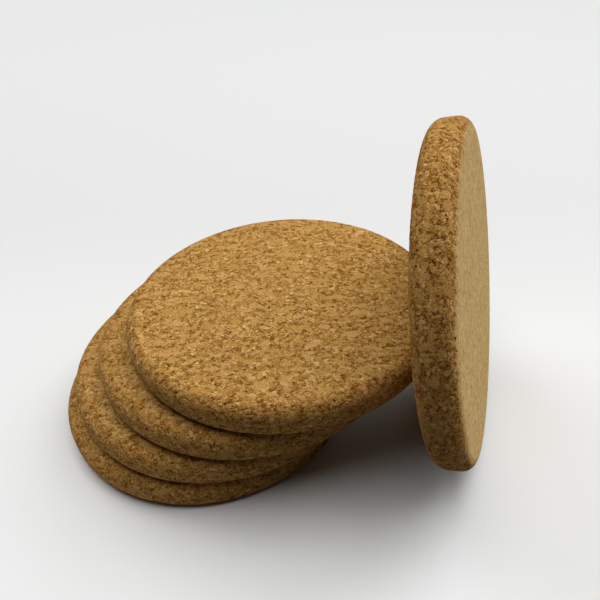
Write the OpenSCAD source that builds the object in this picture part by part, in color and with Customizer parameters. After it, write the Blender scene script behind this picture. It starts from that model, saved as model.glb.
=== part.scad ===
// A set of five loose round cork mats: four lie in a fanned stack and the fifth stands on its rim,
// leaning against the edge of the top one.
// The origin is the centre of the bottom mat's underside. +Z is up and the stack fans out along +X.

/* [Mat] */
// Diameter of every mat
mat_d = 92; // [70:1:130]
// Thickness of every mat
mat_t = 10; // [8.5:0.5:16]
// Radius of the two rounded edges of the rim
edge_r = 3.5; // [1:0.1:4.2]

/* [Fan] */
// How far the second mat lies along the fan from the bottom one
second_shift = 5.5; // [0:0.1:20]
// How far the third mat lies along the fan from the second one
third_shift = 10; // [0:0.1:20]
// How far the top mat lies along the fan from the third one
top_shift = 11; // [0:0.1:20]

/* [Leaning mat] */
// Angle of the leaning mat from the vertical
lean_angle = 10; // [5:0.5:25]
// Turn of the leaning mat out of square with the fan
lean_turn = 14; // [-30:0.5:30]
// How far the leaning mat stands to the back of the top mat's middle
lean_along = 3; // [-15:0.5:15]
// Clearance between the leaning mat's face and the edge that it leans on
lean_clearance = 0.3; // [0.1:0.1:0.8]

/* [Hidden] */

$fn = 128;

cork_tan = [0.72, 0.56, 0.34];
cork_pale = [0.77, 0.63, 0.42];

// Radius of the flat middle of a face, inside the rounded edge
flat_r = mat_d / 2 - edge_r;

// Where each mat of the stack lies along the fan, and how high
second_x = second_shift;
third_x = second_x + third_shift;
top_x = third_x + top_shift;
top_z = 3 * mat_t;

// The leaning mat's axis: it points away from the stack, a little upwards
lean_axis = [
    cos(lean_angle) * cos(lean_turn),
    -cos(lean_angle) * sin(lean_turn),
    sin(lean_angle)
];
// The furthest that the top mat's rounded edge reaches along that axis
top_reach = top_x * lean_axis.x + flat_r * cos(lean_angle)
    + (top_z + mat_t - edge_r) * sin(lean_angle) + edge_r;
// Height of the leaning mat's middle, with its rim on the table
lean_z = flat_r * cos(lean_angle) + (mat_t / 2 - edge_r) * sin(lean_angle) + edge_r;
// Its middle, measured square to the line that it stands on and along that line
lean_out = (top_reach + lean_clearance + mat_t / 2 - lean_z * sin(lean_angle)) / cos(lean_angle);
lean_back = top_x * sin(lean_turn) + lean_along;
lean_centre = [
    lean_out * cos(lean_turn) + lean_back * sin(lean_turn),
    lean_back * cos(lean_turn) - lean_out * sin(lean_turn),
    lean_z
];

// Half of a mat's section: a flat plate whose rim is rounded at both edges
module mat_section() {
    square([flat_r, mat_t]);
    translate([0, edge_r]) square([mat_d / 2, mat_t - 2 * edge_r]);
    for (z = [edge_r, mat_t - edge_r])
        translate([flat_r, z]) circle(edge_r);
}

// One mat, lying flat with the middle of its underside at the origin
module mat() {
    rotate_extrude() mat_section();
}

// A mat of the stack, a given way along the fan and with a given number of mats below it
module stacked_mat(x, below) {
    translate([x, 0, below * mat_t]) mat();
}

module bottom_mat() {
    color(cork_tan) stacked_mat(0, 0);
}

module second_mat() {
    color(cork_tan) stacked_mat(second_x, 1);
}

module third_mat() {
    color(cork_tan) stacked_mat(third_x, 2);
}

module top_mat() {
    color(cork_tan) stacked_mat(top_x, 3);
}

module leaning_mat() {
    color(cork_pale)
        translate(lean_centre)
            rotate([0, 90 - lean_angle, -lean_turn])
                translate([0, 0, -mat_t / 2]) mat();
}

bottom_mat();
second_mat();
third_mat();
top_mat();
leaning_mat();
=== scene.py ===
# %% [markdown]
# # A set of round cork table mats
# Four mats lie in a fanned stack and a fifth stands on its rim, leaning on the top one.
# The solid model already holds the sizes and places, so this lesson starts by loading it as a frame
# that never moves. Everything made here is fitted to that frame.

# %% Load the frame
import math

import bmesh
import bpy
from mathutils import Matrix, Vector


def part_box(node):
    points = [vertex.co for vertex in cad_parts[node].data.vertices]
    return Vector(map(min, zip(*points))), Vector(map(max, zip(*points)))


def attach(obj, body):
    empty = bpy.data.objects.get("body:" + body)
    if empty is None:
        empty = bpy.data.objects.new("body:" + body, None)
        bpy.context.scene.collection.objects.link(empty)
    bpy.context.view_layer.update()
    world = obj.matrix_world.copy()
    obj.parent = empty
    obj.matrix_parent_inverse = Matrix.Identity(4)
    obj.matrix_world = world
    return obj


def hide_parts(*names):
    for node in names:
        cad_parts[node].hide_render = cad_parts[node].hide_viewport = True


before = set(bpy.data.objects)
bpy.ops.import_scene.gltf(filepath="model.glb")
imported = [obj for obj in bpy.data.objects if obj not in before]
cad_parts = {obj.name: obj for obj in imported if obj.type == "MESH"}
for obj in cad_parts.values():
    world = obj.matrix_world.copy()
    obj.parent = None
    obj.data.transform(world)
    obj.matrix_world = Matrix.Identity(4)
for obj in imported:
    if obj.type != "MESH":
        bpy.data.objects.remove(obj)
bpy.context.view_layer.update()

MM = 0.001

# %% [markdown]
# ## The camera
# A camera can be aimed by eye, but the picture then never quite lines up. This one comes from fitting a
# pinhole camera to the outlines of the mats: its place, three angles and its focal length in pixels.
# The angles are applied in the order a photographer would use them: turn, look down, then roll.

# %% Camera
PICTURE_SIDE_PX = 600
FOCAL_PX = 587.4
SENSOR_MM = 36
CAMERA_PLACE = Vector((46.1, -137.2, 143.3)) * MM
CAMERA_TURN = math.radians(6.0)
CAMERA_DOWN = math.radians(37.5)
CAMERA_ROLL = math.radians(-4.67)

camera_data = bpy.data.cameras.new("camera")
camera_data.sensor_width = SENSOR_MM
camera_data.lens = SENSOR_MM * FOCAL_PX / PICTURE_SIDE_PX
camera_data.clip_start = 1 * MM
camera = bpy.data.objects.new("camera", camera_data)
bpy.context.scene.collection.objects.link(camera)
aim = (
    Matrix.Rotation(CAMERA_TURN, 4, "Z")
    @ Matrix.Rotation(math.pi / 2 - CAMERA_DOWN, 4, "X")
    @ Matrix.Rotation(CAMERA_ROLL, 4, "Z")
)
camera.matrix_world = Matrix.Translation(CAMERA_PLACE) @ aim
bpy.context.scene.camera = camera
print("camera lens", round(camera_data.lens, 2), "mm")

# %% [markdown]
# ## Working with operators
# An operator acts on whatever is selected and active, just as a key press does in the window. Loading the
# frame leaves its pieces selected, so a first helper clears that and takes up a single piece. A second one
# applies modifiers, which turns what they show into real mesh.

# %% Helpers for operators
def only(piece):
    """Makes a piece the only selected and active object, in object mode. None leaves nothing selected."""
    if bpy.context.mode != "OBJECT":
        bpy.ops.object.mode_set(mode="OBJECT")
    bpy.ops.object.select_all(action="DESELECT")
    if piece:
        piece.select_set(True)
        bpy.context.view_layer.objects.active = piece


def apply_modifiers(piece):
    """Applies every modifier of a piece, first to last."""
    only(piece)
    for modifier in list(piece.modifiers):
        bpy.ops.object.modifier_apply(modifier=modifier.name)


# %% [markdown]
# ## The blank
# Every mat starts as the same disc, cut from a pressed sheet, with both edges of the rim rounded.
# It could be spun from a profile. A cylinder with its two rim edges bevelled gives the same shape in two
# steps, and its size comes straight from the box of a solid.

# %% Disc with rounded edges
EDGE_R = 3.5 * MM
RIM_SIDES = 256
EDGE_STEPS = 8

low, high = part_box("bottom_mat")
mat_r = (high.x - low.x) / 2
mat_t = high.z - low.z

only(None)
bpy.ops.mesh.primitive_cylinder_add(vertices=RIM_SIDES, radius=mat_r, depth=mat_t)
blank = bpy.context.active_object
blank.name = "blank"
bpy.ops.object.mode_set(mode="EDIT")
bpy.ops.mesh.select_all(action="DESELECT")
shape = bmesh.from_edit_mesh(blank.data)
for edge in shape.edges:
    # An edge around a face has both ends at one height, and an edge of the wall does not
    first, second = edge.verts
    edge.select = abs(first.co.z - second.co.z) < mat_t / 2
bmesh.update_edit_mesh(blank.data)
bpy.ops.mesh.bevel(offset=EDGE_R, segments=EDGE_STEPS, affect="EDGES")
bpy.ops.object.mode_set(mode="OBJECT")
print("blank", round(mat_r * 2 / MM, 1), "x", round(mat_t / MM, 1), "mm")

# %% [markdown]
# ## Even faces
# The grain will be cut into the disc point by point, but its two flat sides have no points inside them.
# Subdividing would crowd the faces at the rim and leave the middle coarse. A voxel remesh spreads faces of
# one size over the whole disc, about as small as the finest bits of cork.

# %% Remesh
FACE_SIZE = 0.43 * MM

remesh = blank.modifiers.new("even faces", "REMESH")
remesh.mode = "VOXEL"
remesh.voxel_size = FACE_SIZE
remesh.use_smooth_shade = True
apply_modifiers(blank)
print("blank has", len(blank.data.polygons), "faces")

# %% [markdown]
# ## Arithmetic on sockets
# The grain of cork is arithmetic on noise. Typed as nodes it would take hundreds of lines, so one small
# class wraps a socket: an operator on it adds a Math node, and make() adds any other node.

# %% Wire
class Wire:
    """A socket in a node tree, on which operators and methods add nodes."""

    def __init__(self, tree, socket=None):
        self.tree = tree
        self.socket = socket

    def make(self, kind, settings=None, inputs=None, output=0):
        """Adds a node with its settings, then the values or links of its inputs, and gives one output."""
        node = self.tree.nodes.new(kind)
        for name, value in (settings or {}).items():
            if name == "stops":
                set_stops(node.color_ramp, value)
            else:
                setattr(node, name, value)
        for name, value in (inputs or {}).items():
            if isinstance(value, Wire):
                self.tree.links.new(value.socket, node.inputs[name])
            else:
                node.inputs[name].default_value = value
        return Wire(self.tree, node.outputs[output] if node.outputs else None)

    def out(self, name):
        """Another output of the node that this socket belongs to."""
        return Wire(self.tree, self.socket.node.outputs[name])

    def math(self, operation, first, second):
        """Works out a number from two others."""
        return self.make("ShaderNodeMath", {"operation": operation}, {0: first, 1: second})

    def __add__(self, other):
        return self.math("ADD", self, other)

    def __radd__(self, other):
        return self.math("ADD", other, self)

    def __sub__(self, other):
        return self.math("SUBTRACT", self, other)

    def __rsub__(self, other):
        return self.math("SUBTRACT", other, self)

    def __mul__(self, other):
        return self.math("MULTIPLY", self, other)

    def __rmul__(self, other):
        return self.math("MULTIPLY", other, self)

    def __truediv__(self, other):
        return self.math("DIVIDE", self, other)

    def __gt__(self, other):
        return self.math("GREATER_THAN", self, other)

    def larger(self, other):
        """The larger of two numbers."""
        return self.math("MAXIMUM", self, other)

    def smooth(self, start, end):
        """0 before start and 1 after end, with a soft step between."""
        inputs = {0: self, 1: start, 2: end}
        return self.make("ShaderNodeMapRange", {"interpolation_type": "SMOOTHSTEP"}, inputs)

    def pick(self, if_zero, if_one):
        """Mixes two numbers by this one."""
        return if_zero + self * (if_one - if_zero)

    def parts(self):
        """The three parts of a vector or a colour."""
        split = self.make("ShaderNodeSeparateXYZ", inputs={0: self})
        return split, split.out(1), split.out(2)

    def vector(self, operation, other):
        """Works out a vector from two others."""
        return self.make("ShaderNodeVectorMath", {"operation": operation}, {0: self, 1: other})

    def moved(self, other):
        """A vector with another one added to it."""
        return self.vector("ADD", other)

    def scaled(self, factor):
        """A vector made longer or shorter by a number."""
        inputs = {0: self, "Scale": factor}
        return self.make("ShaderNodeVectorMath", {"operation": "SCALE"}, inputs)

    def length(self):
        """The length of a vector, as a number."""
        return self.make("ShaderNodeVectorMath", {"operation": "LENGTH"}, {0: self}, "Value")

    def noise(self, per_mm, detail=2.0):
        """Soft noise at a place in mm, with about so many waves to the mm."""
        inputs = {"Vector": self, "Scale": per_mm, "Detail": detail}
        return self.make("ShaderNodeTexNoise", inputs=inputs)

    def cells(self, per_mm, feature="F1"):
        """A mosaic of cells at a place in mm, with about so many cells to the mm."""
        inputs = {"Vector": self, "Scale": per_mm}
        return self.make("ShaderNodeTexVoronoi", {"feature": feature}, inputs)

    def mix(self, share, start, end, blend="MIX"):
        """Mixes two colours. A Mix node takes them at its sockets 6 and 7, and gives a colour at 2."""
        settings = {"data_type": "RGBA", "blend_type": blend}
        return self.make("ShaderNodeMix", settings, {0: share, 6: start, 7: end}, 2)

    def times(self, other):
        """Multiplies a colour by another one."""
        return self.mix(1.0, self, other, "MULTIPLY")

    def washed(self, share, other):
        """Mixes a fixed share of another colour into this one."""
        return self.mix(share, self, other)

    def dyed(self, start, end):
        """Mixes two colours by this number."""
        return self.mix(self, start, end)


def set_stops(ramp, stops):
    """Gives a colour ramp its stops, as pairs of place and colour."""
    while len(ramp.elements) < len(stops):
        ramp.elements.new(1.0)
    for element, (place, colour) in zip(ramp.elements, stops):
        element.position = place
        element.color = colour


# %% [markdown]
# ## The zones of a mat
# A mat isn't the same all over. Its upper face and its rim are as they came from the press and the cutter,
# and its underside is sanded finer. Two vertex groups could mark these zones. Here they are worked out from
# a place on the mat, measured in mm from its middle, so that the mesh and the colour can both ask for them.

# %% Zones
flat_r_mm = (mat_r - EDGE_R) / MM
RIM_START_MM = flat_r_mm - 0.1
RIM_FULL_MM = flat_r_mm + 0.4
SANDED_FULL_MM = flat_r_mm + 0.9
SANDED_END_MM = flat_r_mm + 2.1


def zones(place):
    """1 on the rim and 0 inside it, and 1 on the sanded underside, which also carries painted sheen, and 0
    elsewhere.
    """
    out = place.vector("MULTIPLY", (1, 1, 0)).length()
    rim = out.smooth(RIM_START_MM, RIM_FULL_MM)
    upper = place.parts()[2] > 0
    sanded_and_sheen = (1 - upper) * (1 - out.smooth(SANDED_FULL_MM, SANDED_END_MM))
    return rim, sanded_and_sheen


print("flat part of a face", round(flat_r_mm * 2, 1), "mm across")

# %% [markdown]
# ## Cracks and pits
# Along some borders the binder has let go and left a crack, and here and there a granule is torn out, more
# often at the cut rim, which leaves a round pit. Cracks are the places close to a border, kept only where
# noise says that the cork is loose. Pits sit in the middle of cells that are larger than the granules, and
# most of those cells have none.

# %% Cracks and pits
LOOSE_PER_MM = 0.9
LOOSE_START = 0.48
LOOSE_FULL = 0.62
CRACK_DEEP_MM = 0.02
CRACK_END_MM = 0.16
PIT_PER_MM = 0.30
PIT_R_MM = 0.6
PIT_LEAST_MM = 0.001
PIT_CHOICE = 0.80
PIT_CHOICE_RIM = 0.2
PIT_FLOOR = 0.5


def cracks(place, border):
    """1 in the middle of a crack, at a place that is so many mm from the border of its granule."""
    loose = place.noise(LOOSE_PER_MM).smooth(LOOSE_START, LOOSE_FULL)
    return (1 - border.smooth(CRACK_DEEP_MM, CRACK_END_MM)) * loose


def pits(place, rim):
    """1 on the floor of a pit and 0 outside it."""
    hole = place.cells(PIT_PER_MM)
    size = hole.out("Color").parts()[0]
    reach = size.smooth(PIT_CHOICE - PIT_CHOICE_RIM * rim, 1.0) * PIT_R_MM + PIT_LEAST_MM
    return 1 - (hole / PIT_PER_MM / reach).smooth(PIT_FLOOR, 1.0)


# %% [markdown]
# ## The grain
# Pressed cork is a mosaic of bits. A few granules are whole, about 2 mm across, crumbs of 1 mm and grit of
# half a mm fill the space between them, and all of them are drawn out along one way of the sheet.
# Cells of a Voronoi texture are a good stand-in for such bits once noise has bent their straight borders,
# and each cell brings three random numbers: one chooses the kind of bit, one its tone, one its level.
# The same function serves the mesh and the colour, so that every pit in the mesh is also painted dark, as
# painted shade.

# %% Sizes of the bits
FLAKE_PER_MM = 0.5
CRUMB_PER_MM = 1.05
GRIT_PER_MM = 2.2
GRAIN_STRETCH = (0.62, 1.1, 1.1)
RIPPLE_PER_MM = 1.1
RIPPLE_MM = 2.0
NOISE_MIDDLE = (-0.5, -0.5, -0.5)
BATCH_STEP_MM = (170.0, 230.0, 310.0)


def bits(place, per_mm):
    """The three random numbers of the bit of cork at a place."""
    return place.cells(per_mm).out("Color").parts()


def borders(place, per_mm):
    """How far a place is from the border of its bit of cork, in mm."""
    return place.cells(per_mm, "DISTANCE_TO_EDGE") / per_mm


# %% Granules
WHOLE_CHOICE = 0.86
WHOLE_TONE = 0.35
WHOLE_SPREAD = 0.2
WHOLE_SPECKS = 0.15
WHOLE_LEVEL = 0.4
CRUMB_SHARE = 0.45
GRIT_SHARE = 0.55
PALE_CHOICE = 0.9
PALE_LIFT = 0.2
BARK_CHOICE = 0.94
BARK_DROP = 0.5


def granules(place, batch):
    """The grain at a place on a mat, in mm. Values go from about 0 to 1, apart from the moved place."""
    rim, sanded_and_sheen = zones(place)
    steps = {i: batch * step for i, step in enumerate(BATCH_STEP_MM)}
    place = place.moved(place.make("ShaderNodeCombineXYZ", inputs=steps))
    ripple = place.noise(RIPPLE_PER_MM).out("Color").moved(NOISE_MIDDLE)
    rippled = place.moved(ripple.scaled(RIPPLE_MM))
    bent = rippled.vector("MULTIPLY", GRAIN_STRETCH)
    flake_choice, flake_tone, flake_level = bits(bent, FLAKE_PER_MM)
    crumb_choice, crumb_tone, crumb_level = bits(bent, CRUMB_PER_MM)
    grit_choice, grit_tone, grit_level = bits(bent, GRIT_PER_MM)
    whole = flake_choice > WHOLE_CHOICE
    tone = crumb_tone * CRUMB_SHARE + grit_tone * GRIT_SHARE + (crumb_choice > PALE_CHOICE) * PALE_LIFT
    tone = tone - (grit_choice > BARK_CHOICE) * BARK_DROP
    tone = whole.pick(tone, WHOLE_TONE + WHOLE_SPREAD * flake_tone + WHOLE_SPECKS * grit_tone)
    level = whole.pick(crumb_level * 0.5 + grit_level * 0.5, flake_level * 0.5 + WHOLE_LEVEL)
    border = whole.pick(borders(bent, CRUMB_PER_MM), borders(bent, FLAKE_PER_MM))
    return {"place": place, "sanded_and_sheen": sanded_and_sheen, "rim": rim, "tint": flake_tone, "tone": tone,
            "level": level, "crack": cracks(place, border), "pit": pits(rippled, rim)}


# %% [markdown]
# ## The relief
# The pits and the uneven granules are real shape: they catch the light, so paint alone would look flat.
# They could be sculpted or displaced with a texture. A Geometry Nodes modifier is used because it can call
# the grain function above. It first stores each point's place on its own mat, so that the colour later
# reads the grain at the same points, however the mat is turned. The relief only cuts inwards, so no mat
# grows past its solid, and it is flatter on the sanded underside.

# %% Relief modifier
GRAIN_DEPTH_MM = 0.10
CRACK_DEPTH_MM = 0.14
PIT_DEPTH_MM = 0.40
SANDED_FLAT = 0.7


def make_relief():
    """The node group that stores each point's place on its mat and cuts the relief into the mat."""
    group = bpy.data.node_groups.new("relief", "GeometryNodeTree")
    sockets = group.interface
    sockets.new_socket("Mesh", in_out="INPUT", socket_type="NodeSocketGeometry")
    sockets.new_socket("Batch", in_out="INPUT", socket_type="NodeSocketFloat")
    sockets.new_socket("Mesh", in_out="OUTPUT", socket_type="NodeSocketGeometry")
    start = Wire(group)
    mesh = start.make("NodeGroupInput")
    batch = mesh.out("Batch")
    place = start.make("GeometryNodeInputPosition").scaled(1 / MM)
    for name, kind, value in (("mat_place", "FLOAT_VECTOR", place), ("batch", "FLOAT", batch)):
        settings = {"data_type": kind, "domain": "POINT"}
        inputs = {"Geometry": mesh, "Name": name, "Value": value}
        mesh = start.make("GeometryNodeStoreNamedAttribute", settings, inputs)
    grain = granules(place, batch)
    depth = grain["level"] * GRAIN_DEPTH_MM + grain["crack"] * CRACK_DEPTH_MM
    depth = depth * (1 - SANDED_FLAT * grain["sanded_and_sheen"])
    depth = depth.larger(grain["pit"] * PIT_DEPTH_MM)
    inward = start.make("GeometryNodeInputNormal").scaled(depth * -MM)
    mesh = start.make("GeometryNodeSetPosition", inputs={"Geometry": mesh, "Offset": inward})
    start.make("NodeGroupOutput", inputs={"Mesh": mesh})
    return group


relief = make_relief()
print("relief has", len(relief.nodes), "nodes")

# %% [markdown]
# ## The mats
# The blank is copied once for each mat, each with its own mesh and its own stretch of grain.
# The middle of a mat is the middle of its solid's box. The stacked mats lie flat. The leaning one is tipped
# on to its rim, so that its sanded underside faces away from the stack, and is turned a little out of
# square. Its place is then applied to its mesh.

# %% Mats
LEAN = math.radians(10)
LEAN_TURN = math.radians(14)
LYING = Matrix.Identity(4)
LEANING = Matrix.Rotation(-LEAN_TURN, 4, "Z") @ Matrix.Rotation(-math.pi / 2 - LEAN, 4, "Y")


def make_mat(node, batch, turned):
    """A copy of the blank with its own grain, in the place of a node of the frame."""
    mat = blank.copy()
    mat.data = blank.data.copy()
    mat.name = node + "_cork"
    bpy.context.scene.collection.objects.link(mat)
    modifier = mat.modifiers.new("relief", "NODES")
    modifier.node_group = relief
    modifier[relief.interface.items_tree["Batch"].identifier] = float(batch)
    apply_modifiers(mat)
    low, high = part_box(node)
    mat.matrix_world = Matrix.Translation((low + high) / 2) @ turned
    bpy.ops.object.transform_apply(location=True, rotation=True, scale=True)
    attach(mat, node)
    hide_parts(node)
    return mat


mats = [
    make_mat("bottom_mat", 1, LYING),
    make_mat("second_mat", 2, LYING),
    make_mat("third_mat", 3, LYING),
    make_mat("top_mat", 4, LYING),
    make_mat("leaning_mat", 5, LEANING),
]
bpy.data.objects.remove(blank)
for mat in mats:
    print(mat.name, len(mat.data.polygons), "faces")

# %% [markdown]
# ## The colours of cork
# Raw cork is warm: tan, honey and straw granules, a few of them cream, with brown bits of bark, and pits
# that are painted dark as painted shade. Some granules lean to olive. The sanded underside is paler, partly
# from its finer finish and partly from painted sheen and painted light from the side, and the cut rim a
# little duller.
# The colours are written as picked on a screen, and a helper turns them into what a shader takes.

# %% Colours
SCREEN_FULL = 255


def paint(red, green, blue):
    """A colour as picked on a screen, as the linear values that a shader takes."""
    def linear(value):
        share = value / SCREEN_FULL
        return share / 12.92 if share <= 0.04045 else ((share + 0.055) / 1.055) ** 2.4
    return (linear(red), linear(green), linear(blue), 1.0)


BARK = paint(108, 55, 0)
CHESTNUT = paint(147, 96, 27)
HONEY = paint(180, 134, 74)
STRAW = paint(218, 172, 109)
CREAM = paint(236, 196, 137)
GRAIN_TONES = ((0.0, BARK), (0.25, CHESTNUT), (0.5, HONEY), (0.8, STRAW), (1.0, CREAM))
# Painted shade on the floor of the pits
PAINTED_PIT_SHADE = paint(77, 43, 3)
OLIVE_CAST = (0.97, 1.05, 0.92, 1.0)
PLAIN_CAST = (1.00, 1.00, 1.00, 1.0)
# The sanded underside is paler, partly from its finer finish and partly as painted sheen and painted light
# from the side
SANDED_AND_SHEEN_CAST = (1.12, 1.31, 1.72, 1.0)
SANDED_AND_SHEEN_PALE = paint(221, 193, 137)
SANDED_AND_SHEEN_SHARE = 0.3
RIM_DULL = (0.91, 0.86, 0.82, 1.0)
print("cork has", len(GRAIN_TONES), "tones")

# %% [markdown]
# ## The cork finish
# The finish could be an image wrapped around each mat. It is made of nodes here, because they can read the
# grain at the stored places and so follow the relief exactly. A ramp turns the tone of a granule into a
# colour, and fine dust breaks it up. What is finer than the mesh, the cells of the cork itself, is left to
# a bump. Nothing on raw cork shines, so the surface is rough and has hardly any reflection.

# %% Colour of the grain
DUST_PER_MM = 2.6
DUST_DETAIL = 3.0
DUST_SPREAD = 0.65
TONE_MIDDLE = 0.47
TONE_SPREAD = 0.6
TONE_SPREAD_RIM = 0.08
# Cracks are darker, partly for the gap between granules and partly as painted shade inside the crevice
CRACK_DARK_AND_SHADE = 0.25


def cork_colour(grain, dust):
    """The colour of the cork, from its grain and the dust on it, with cracks darkened partly as painted
    shade, pits painted dark as painted shade, and painted sheen in the paler sanded underside.
    """
    spread = TONE_SPREAD + TONE_SPREAD_RIM * grain["rim"]
    tone = 0.5 + (grain["tone"] - TONE_MIDDLE) * spread
    # Cracks darken the tone: partly the gap's own colour, partly painted shade in the crevice.
    tone = tone + (dust - 0.5) * DUST_SPREAD - grain["crack"] * CRACK_DARK_AND_SHADE
    colour = tone.make("ShaderNodeValToRGB", {"stops": GRAIN_TONES}, {"Fac": tone})
    colour = colour.times(grain["tint"].dyed(OLIVE_CAST, PLAIN_CAST))
    # Paler underside: partly its finer finish, partly painted sheen and painted light from the side it
    # faces.
    sanded_and_sheen_colour = colour.times(SANDED_AND_SHEEN_CAST).washed(SANDED_AND_SHEEN_SHARE, SANDED_AND_SHEEN_PALE)
    colour = grain["sanded_and_sheen"].dyed(colour, sanded_and_sheen_colour)
    # Pits are painted dark: painted shade in the hollows.
    colour = grain["pit"].dyed(colour, PAINTED_PIT_SHADE)
    return grain["rim"].dyed(colour, colour.times(RIM_DULL))


# %% Cork material
BUMP_DEPTH = 0.40 * MM
LEVEL_LUMPS = 0.5
DUST_LUMPS = 0.6
CRACK_LUMPS = 0.5
SANDED_SMOOTH = 0.85
CORK_ROUGHNESS = 0.9
CORK_GLOSS = 0.05


def make_cork():
    """Cork whose granules, cracks and pits follow the relief of the mesh."""
    material = bpy.data.materials.new("cork")
    material.use_nodes = True
    material.node_tree.nodes.clear()
    start = Wire(material.node_tree)
    place = start.make("ShaderNodeAttribute", {"attribute_name": "mat_place"}, output="Vector")
    batch = start.make("ShaderNodeAttribute", {"attribute_name": "batch"}, output="Fac")
    grain = granules(place, batch)
    dust = grain["place"].noise(DUST_PER_MM, DUST_DETAIL)
    lumps = grain["level"] * LEVEL_LUMPS + dust * DUST_LUMPS - grain["crack"] * CRACK_LUMPS
    lumps = lumps * (1 - SANDED_SMOOTH * grain["sanded_and_sheen"])
    bump = start.make("ShaderNodeBump", inputs={"Height": lumps, "Distance": BUMP_DEPTH, "Strength": 1.0})
    shader = start.make("ShaderNodeBsdfPrincipled", inputs={
        "Base Color": cork_colour(grain, dust),
        "Roughness": CORK_ROUGHNESS,
        "Specular IOR Level": CORK_GLOSS,
        "Normal": bump,
    })
    start.make("ShaderNodeOutputMaterial", inputs={"Surface": shader})
    return material


cork = make_cork()
for mat in mats:
    mat.data.materials.clear()
    mat.data.materials.append(cork)
print("cork has", len(cork.node_tree.nodes), "nodes")

# %% [markdown]
# ## The table
# The mats stand on a plain pale table, painted a little paler at the front as painted light that lifts the
# mats' shade there. Further off it fades into the colour of the room, so that no horizon shows. A white
# table also throws light back at the mats from below, which would wash out their shaded fronts. So the
# material asks what kind of ray has met it. To the camera and in reflections it is pale. To all other rays
# it is pale only around a place at the left of the stack, where it lights the undersides of the lips, and
# dark elsewhere.

# %% Which rays see the surroundings
def seen(start):
    """1 for rays from the camera, from a reflection or through glass, and 0 for all others."""
    path = start.make("ShaderNodeLightPath", output="Is Camera Ray")
    return path.larger(path.out("Is Glossy Ray")).larger(path.out("Is Transmission Ray"))


# %% Table
TABLE_SIDE = 8.0
TABLE_DROP = 0.02 * MM

only(None)
bpy.ops.mesh.primitive_plane_add(size=TABLE_SIDE, location=(0, 0, -TABLE_DROP))
table = bpy.context.active_object
table.name = "table"
print("table", TABLE_SIDE, "m across")

# %% Finish of the table
TABLE_FAR = (0.65, 0.655, 0.65, 1.0)
# Painted light: the table is paler near the camera, where the shade of the mats falls
TABLE_NEAR_PAINTED_LIGHT = (0.79, 0.795, 0.79, 1.0)
NEAR_Y = -0.10
FAR_Y = 0.14
BOUNCE_STRONG = (0.78, 0.77, 0.76, 1.0)
BOUNCE_WEAK = (0.17, 0.167, 0.163, 1.0)
BOUNCE_PLACE = (-0.10, 0, 0)
BOUNCE_NEAR = 0.07
BOUNCE_FAR = 0.17
ROOM_PALE = (0.82, 0.83, 0.82, 1.0)
TABLE_LIT = 0.2
TABLE_END = 0.6

paper = bpy.data.materials.new("paper")
paper.use_nodes = True
paper.node_tree.nodes.clear()
start = Wire(paper.node_tree)
place = start.make("ShaderNodeTexCoord", output="Object")
# The table is painted paler towards the front: painted light that lifts the shade of the mats there.
table_pale_and_painted_light = place.parts()[1].smooth(NEAR_Y, FAR_Y).dyed(TABLE_NEAR_PAINTED_LIGHT, TABLE_FAR)
camera_sees = seen(start)
away = place.vector("SUBTRACT", BOUNCE_PLACE).length()
table_bounce = away.smooth(BOUNCE_NEAR, BOUNCE_FAR).dyed(BOUNCE_STRONG, BOUNCE_WEAK)
lit = start.make("ShaderNodeBsdfDiffuse", inputs={"Color": camera_sees.dyed(table_bounce, table_pale_and_painted_light)})
haze = start.make("ShaderNodeEmission", inputs={"Color": ROOM_PALE})
far = camera_sees * place.length().smooth(TABLE_LIT, TABLE_END)
shader = start.make("ShaderNodeMixShader", inputs={0: far, 1: lit, 2: haze})
start.make("ShaderNodeOutputMaterial", inputs={"Surface": shader})
table.data.materials.append(paper)
print("paper has", len(paper.node_tree.nodes), "nodes")

# %% [markdown]
# ## The light
# One large soft lamp hangs above, two stand at the right and two at the back, as panels do around a product
# table. None stands on the camera's side, so the tops are bright and the fronts fall into shade, which
# shows how thick the mats are. The lamp above also leaves the dark seam below the lip of each mat.

# %% Lamps
LAMP_FAR = 3.0
LAMP_SIZE = 2.4
LAMP_AIM = Vector((0.03, 0, 0.03))
# Turn from the right towards the back and rise, in degrees, and power in watts
LAMPS = {
    "above": (0, 90, 47.0),
    "right, high": (20, 60, 30.0),
    "right, low": (20, 20, 26.0),
    "back right": (45, 40, 28.0),
    "back left": (135, 40, 40.0),
}

for name, (turn, rise, watts) in LAMPS.items():
    turn = math.radians(turn)
    rise = math.radians(rise)
    way = Vector((math.cos(rise) * math.cos(turn), math.cos(rise) * math.sin(turn), math.sin(rise)))
    lamp_data = bpy.data.lights.new(name, "AREA")
    lamp_data.shape = "DISK"
    lamp_data.size = LAMP_SIZE
    lamp_data.energy = watts
    lamp = bpy.data.objects.new(name, lamp_data)
    bpy.context.scene.collection.objects.link(lamp)
    lamp.location = LAMP_AIM + way * LAMP_FAR
    lamp.rotation_euler = way.to_track_quat("Z", "Y").to_euler()
    lamp.visible_camera = False
    print(name, "lamp,", watts, "W")

# %% [markdown]
# ## The room
# Past the edge of the table the camera sees the room, in the same pale colour as the end of the table.
# A room as bright as it looks would fill in every shadow, so for all other rays it is nearly dark.

# %% Surroundings
ROOM_DIM = (0.02, 0.02, 0.02, 1.0)

world = bpy.data.worlds.new("room")
world.use_nodes = True
world.node_tree.nodes.clear()
bpy.context.scene.world = world
start = Wire(world.node_tree)
room = start.make("ShaderNodeBackground", inputs={"Color": seen(start).dyed(ROOM_DIM, ROOM_PALE)})
start.make("ShaderNodeOutputWorld", inputs={"Surface": room})
bpy.context.scene.view_settings.view_transform = "Standard"
print("room has", len(world.node_tree.nodes), "nodes")
